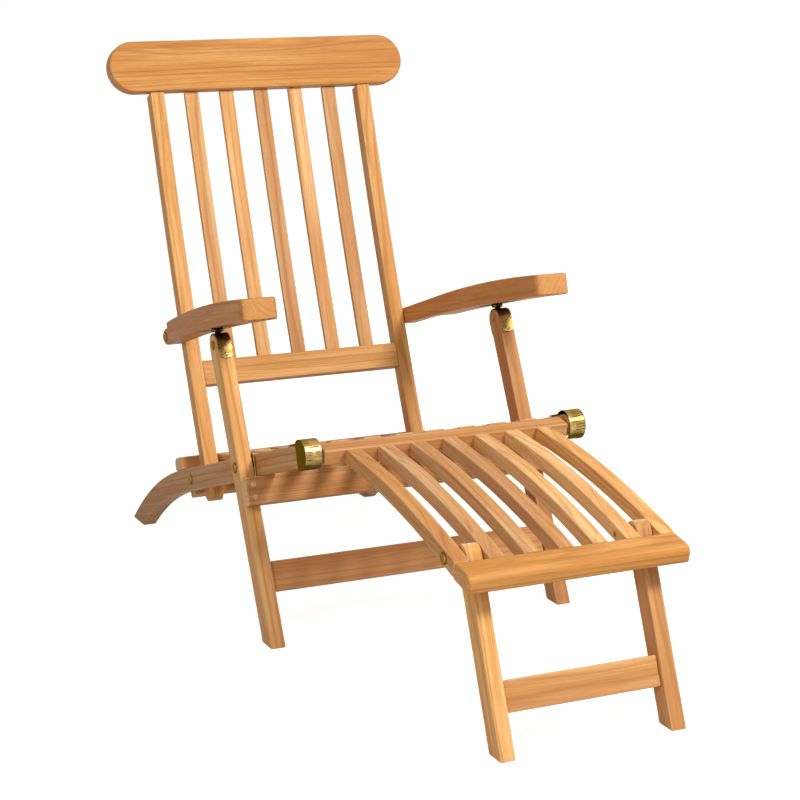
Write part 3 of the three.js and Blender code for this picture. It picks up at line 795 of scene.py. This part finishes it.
# bolts: a turned shank and a low domed head
bolt = {
    "steps": 40,
    "domeSteps": 6,
    "crownShare": 0.55,  # how much of the head's height is dome
    "tail": 0.0008,      # how far the plain end stands proud
    "tailShare": 0.8,    # of the shank's radius, left at the end of the tail's slope
    "headShare": 1.2,    # of the shank's radius, past which a point is on the head
    "nearEnd": 0.001,    # points this near to the plain end are measured for the shank
    "axisReach": 1e-6,   # a ring smaller than this is one point
    "crease": 45,
}


# a bolt's centre, the way its head points, and how far its solid's points lie from and along its axis
def boltMeasures(node):
    points = nodePoints(node)
    centre = middleOf(node)
    outward = 1 if centre.x > 0 else -1
    radii = np.hypot(points[:, 1] - centre.y, points[:, 2] - centre.z)
    return centre, outward, radii, points[:, 0] * outward


# places along the axis with their radii, from the plain end to the top of the dome
def boltProfile(radii, reach):
    foot, top = reach.min(), reach.max()
    tail = foot - bolt["tail"]
    shank = radii[reach < foot + bolt["nearEnd"]].max()
    head = radii.max()
    seat = reach[radii > shank * bolt["headShare"]].min()
    rim = seat + (top - seat) * (1 - bolt["crownShare"])
    profile = [(tail, 0.0), (tail, shank * bolt["tailShare"]), (foot, shank), (seat, shank), (seat, head)]
    for step in range(bolt["domeSteps"] + 1):
        turn = math.radians(90) * step / bolt["domeSteps"]
        profile.append((rim + (top - rim) * math.sin(turn), head * math.cos(turn)))
    return profile


def makeBolt(node):
    centre, outward, radii, reach = boltMeasures(node)
    bm = bmesh.new()
    rings = []
    for place, radius in boltProfile(radii, reach):
        if radius < bolt["axisReach"]:
            rings.append([bm.verts.new((outward * place, centre.y, centre.z))])
            continue
        ring = []
        for step in range(bolt["steps"]):
            turn = 2 * math.pi * step / bolt["steps"]
            spot = (outward * place, centre.y + radius * math.cos(turn), centre.z + radius * math.sin(turn))
            ring.append(bm.verts.new(spot))
        rings.append(ring)
    for lower, upper in zip(rings, rings[1:]):
        for step in range(bolt["steps"]):
            after = (step + 1) % bolt["steps"]
            corners = [lower[step % len(lower)], lower[after % len(lower)]]
            corners += [upper[after % len(upper)], upper[step % len(upper)]]
            bm.faces.new(list(dict.fromkeys(corners)))
    bmesh.ops.recalc_face_normals(bm, faces=bm.faces)
    mesh = bpy.data.meshes.new(node + "Turned")
    bm.to_mesh(mesh)
    bm.free()
    mesh.shade_smooth()
    piece = addObject("turned_" + node, mesh)
    sharpen(piece, bolt["crease"])
    dress(piece, "boltBrass", bodyOfNode[node], node)


for node in boltNodes:
    makeBolt(node)
print("bolts turned:", len(boltNodes))


# bolt shade discs, plugs and screws: a flattened ball, half sunk, on each marked spot
disc = {"segments": 24, "rings": 12}


def discTree():
    tree, given, outside, sockets = newTree("discs", [
        ("Geometry", "NodeSocketGeometry"),
        ("Radius", "NodeSocketFloat"),
        ("Height", "NodeSocketFloat"),
        ("Turn", "NodeSocketVector"),
        ("Material", "NodeSocketMaterial"),
    ])
    take = given.outputs
    ball = treeNode(tree, "GeometryNodeMeshUVSphere", None, {
        "Segments": disc["segments"],
        "Rings": disc["rings"],
        "Radius": 1.0,
    })
    size = treeNode(tree, "ShaderNodeCombineXYZ", None, {
        "X": take["Radius"],
        "Y": take["Radius"],
        "Z": take["Height"],
    })
    flattened = treeNode(tree, "GeometryNodeTransform", None, {
        "Geometry": ball.outputs[0],
        "Scale": size.outputs[0],
    })
    spread = treeNode(tree, "GeometryNodeInstanceOnPoints", None, {
        "Points": take["Geometry"],
        "Instance": flattened.outputs[0],
        "Rotation": take["Turn"],
    })
    endTree(tree, outside, spread.outputs[0], take["Material"])
    return tree, sockets


discGrower, discSockets = discTree()


def makeDiscs(name, body, material, spots, facing, radius, height):
    seedMesh = bpy.data.meshes.new(name + "Spots")
    seedMesh.from_pydata([tuple(spot) for spot in spots], [], [])
    piece = growPiece(name, discGrower, discSockets, {
        "Radius": radius,
        "Height": height,
        "Turn": Vector(facing.to_track_quat("Z", "Y").to_euler()),
        "Material": materials[material],
    }, seedMesh)
    piece.data.shade_smooth()
    if "Teak" in material:
        giveGrain(piece.data, [(name, np.arange(len(piece.data.vertices)), None)])
    dress(piece, material, body)


# painted shade: a dark ring round each head stands in for the shade in its recess
boltShadeDisc = {
    "wider": 1.28,        # times the head's radius
    "height": 0.00035,
    "rimShare": 0.98,     # of the head's radius, past which a point is on its rim
    "radiusPlaces": 4,    # heads with the same radius to this many decimals share a piece
}


def makeBoltShadeDiscs():
    spots = {}
    for node in boltNodes:
        centre, outward, radii, reach = boltMeasures(node)
        head = radii.max()
        seat = reach[radii > head * boltShadeDisc["rimShare"]].min()
        spot = Vector((outward * seat, centre.y, centre.z))
        key = (bodyOfNode[node], outward, round(head, boltShadeDisc["radiusPlaces"]))
        spots.setdefault(key, []).append(spot)
    for (body, outward, head), places in spots.items():
        name = "boltSeats_" + body + ("_left" if outward > 0 else "_right")
        facing = Vector((outward, 0, 0))
        makeDiscs(name, body, "recessShadeTeak", places, facing, head * boltShadeDisc["wider"], boltShadeDisc["height"])


# the posts' own axes: their bolt and the cross bolt above it
postWay = (middleOf("saddle_bolt_left") - middleOf("leg_bolt_left")).yz.normalized()
postUp = Vector((0, postWay.x, postWay.y))
postFront = Vector((0, -postWay.y, postWay.x))
plugs = {
    "radius": 0.0048,
    "height": 0.0006,
    "fromEnd": 0.0135,          # in from the apron's ends
    "rowShares": (0.27, 0.73),  # of the apron's height
}
screws = {
    "radius": 0.0040,
    "height": 0.0012,
    "belowRound": 0.0225,       # down the post from the saddle's bolt
}


def makePlugs():
    points = nodePoints("front_apron")
    up = points @ np.array(postUp)
    front = points @ np.array(postFront)
    spots = []
    for share in plugs["rowShares"]:
        place = up.min() + (up.max() - up.min()) * share
        for side in (1, -1):
            x = side * (points[:, 0].max() - plugs["fromEnd"])
            spots.append(Vector((x, 0, 0)) + postUp * place + postFront * front.max())
    makeDiscs("apronPlugs", "leg_frame", "slatTeak", spots, postFront, plugs["radius"], plugs["height"])


def makeScrews():
    spots = []
    for side in ("left", "right"):
        points = nodePoints("saddle_" + side)
        front = (points @ np.array(postFront)).max()
        centre = middleOf("saddle_bolt_" + side)
        spot = Vector((middleOf("saddle_" + side).x, 0, 0))
        spot += postUp * (centre.dot(postUp) - screws["belowRound"]) + postFront * front
        spots.append(spot)
    makeDiscs("saddleScrews", "leg_frame", "brass", spots, postFront, screws["radius"], screws["height"])


makeBoltShadeDiscs()
makePlugs()
makeScrews()
print("bolt seats, plugs and screws set")


# studio: pale floor, a sky that is brighter on the chair's left, one key and a fill
studio = {
    "floorSize": 60.0,
    "floorColour": tint(0.55, 0.54, 0.53),
    "floorGlow": 0.88,       # what the camera sees the floor add by itself
    "skyLow": 0.09,          # strength on the dark side
    "skyHigh": 0.36,         # strength on the bright side
    "skyWay": (0.62, -0.55, 0.56),
    "skySpan": (-0.6, 0.9),  # cosines to skyWay where it starts and ends to brighten
    "key": {"place": (1.7, -2.9, 4.0), "size": 1.4, "power": 205.0, "colour": (1.0, 0.965, 0.91)},
    "fill": {"place": (-3.2, -2.6, 2.0), "size": 2.2, "power": 60.0, "colour": (0.95, 0.97, 1.0)},
    "aim": (0.0, -0.1, 0.4),
}


def makeFloor():
    half = studio["floorSize"] / 2
    mesh = bpy.data.meshes.new("floor")
    corners = [(-half, -half, 0), (half, -half, 0), (half, half, 0), (-half, half, 0)]
    mesh.from_pydata(corners, [], [(0, 1, 2, 3)])
    floor = addObject("floor", mesh)
    s = Shader(bpy.data.materials.new("floorPaint"))
    paint = s.node("ShaderNodeBsdfPrincipled", None, {
        "Base Color": studio["floorColour"],
        "Roughness": 1.0,
        "Specular IOR Level": 0.0,
        "Emission Color": s.mixColour(s.isShown(), tint(0, 0, 0), tint(1, 1, 1)),
        "Emission Strength": studio["floorGlow"],
    })
    mesh.materials.append(s.finish(paint))


def makeLamp(name):
    lamp = studio[name]
    data = bpy.data.lights.new(name, "AREA")
    data.shape = "DISK"
    data.size = lamp["size"]
    data.energy = lamp["power"]
    data.color = lamp["colour"]
    made = bpy.data.objects.new(name, data)
    made.location = lamp["place"]
    made.rotation_euler = (Vector(studio["aim"]) - made.location).to_track_quat("-Z", "Y").to_euler()
    bpy.context.scene.collection.objects.link(made)


def makeWorld():
    s = Shader(bpy.data.worlds.new("studio"))
    ways = {
        0: s.node("ShaderNodeTexCoord", None, None, "Generated"),
        1: Vector(studio["skyWay"]).normalized(),
    }
    glow = s.node("ShaderNodeMapRange", {"interpolation_type": "SMOOTHSTEP"}, {
        "Value": s.node("ShaderNodeVectorMath", {"operation": "DOT_PRODUCT"}, ways, "Value"),
        "From Min": studio["skySpan"][0],
        "From Max": studio["skySpan"][1],
        "To Min": studio["skyLow"],
        "To Max": studio["skyHigh"],
    })
    lit = s.node("ShaderNodeBackground", None, {"Color": tint(1, 1, 1), "Strength": glow})
    white = s.node("ShaderNodeBackground", None, {"Color": tint(1, 1, 1), "Strength": 1.0})
    mixed = s.node("ShaderNodeMixShader", None, {0: s.isShown(), 1: lit, 2: white})
    bpy.context.scene.world = s.finish(mixed, "ShaderNodeOutputWorld")


makeFloor()
makeLamp("key")
makeLamp("fill")
makeWorld()
bpy.context.scene.view_settings.view_transform = "Standard"
print("studio lit")
